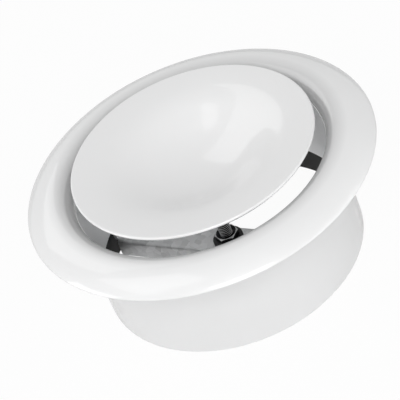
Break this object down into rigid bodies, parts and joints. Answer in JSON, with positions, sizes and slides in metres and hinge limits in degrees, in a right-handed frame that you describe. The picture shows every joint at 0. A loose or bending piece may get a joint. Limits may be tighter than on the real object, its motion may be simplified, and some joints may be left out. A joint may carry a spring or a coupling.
{
  "type": "ceiling disc valve",
  "caption": "Round steel disc valve for a ceiling air duct: bell-mouth flange, dished disc on a threaded spindle, bridge, neck and mounting collar.",
  "frame": {"origin": "centre of the ring of fixing holes in the ceiling plane, on the valve's axis", "axes": "+Z along the valve's axis out of the ceiling into the room; the collar runs into the duct along -Z; one arm of the bridge is at 140 degrees from +X"},
  "size_m": [0.164, 0.164, 0.0665],
  "materials": {
    "white_enamel": "white stove enamel, glossy",
    "bright_steel": "bright zinc-plated sheet, near mirror",
    "spring_steel": "spring strip, satin",
    "rivet_metal": "plain aluminium, satin",
    "black_steel": "black oxide, oiled",
    "black_bush": "black moulded, satin",
    "nylon": "natural nylon",
    "foam": "closed-cell black foam, matt",
    "black_rubber": "moulded black rubber, satin"
  },
  "bodies": {
    "mounting": {"mounting_collar": "white_enamel"},
    "valve": {"flange_ring": "white_enamel", "neck_sleeve": "bright_steel", "flange_gasket": "foam", "neck_seal": "black_rubber", "spring_clip_1": "spring_steel", "spring_clip_2": "spring_steel", "spring_clip_3": "spring_steel", "clip_rivets": "rivet_metal", "bridge": "bright_steel", "bridge_rivets": "rivet_metal", "bridge_hub": "black_bush", "captive_nut": "black_steel"},
    "spindle": {"spindle": "black_steel", "end_clip": "black_steel"},
    "disc": {"valve_disc": "white_enamel", "disc_seal": "foam", "disc_plate": "bright_steel", "disc_boss": "bright_steel", "jam_nut": "black_steel"},
    "lock_ring": {"lock_nut_insert": "nylon"},
    "lock_nut": {"lock_nut": "black_steel"}
  },
  "joints": [
    {"name": "valve_pull", "type": "slide", "parent": "mounting", "child": "valve", "axis": [0, 0, 1], "range_m": [0, 0.05]},
    {"name": "disc_travel", "type": "slide", "parent": "valve", "child": "spindle", "axis": [0, 0, 1], "range_m": [-0.0105, 0.0041]},
    {"name": "disc_turn", "type": "hinge", "parent": "spindle", "child": "disc", "pos_m": [0, 0, 0], "axis": [0, 0, 1], "range_deg": [-3780, 1476]},
    {"name": "lock_nut_travel", "type": "slide", "parent": "valve", "child": "lock_ring", "axis": [0, 0, 1], "range_m": [-0.0129, 0]},
    {"name": "lock_nut_turn", "type": "hinge", "parent": "lock_ring", "child": "lock_nut", "pos_m": [0, 0, -0.025], "axis": [0, 0, 1], "range_deg": [-4644, 0]}
  ],
  "couplings": [
    {"joint": "disc_turn", "follows": "disc_travel", "rad_per_m": 6283.2},
    {"joint": "lock_nut_turn", "follows": "lock_nut_travel", "rad_per_m": 6283.2}
  ]
}
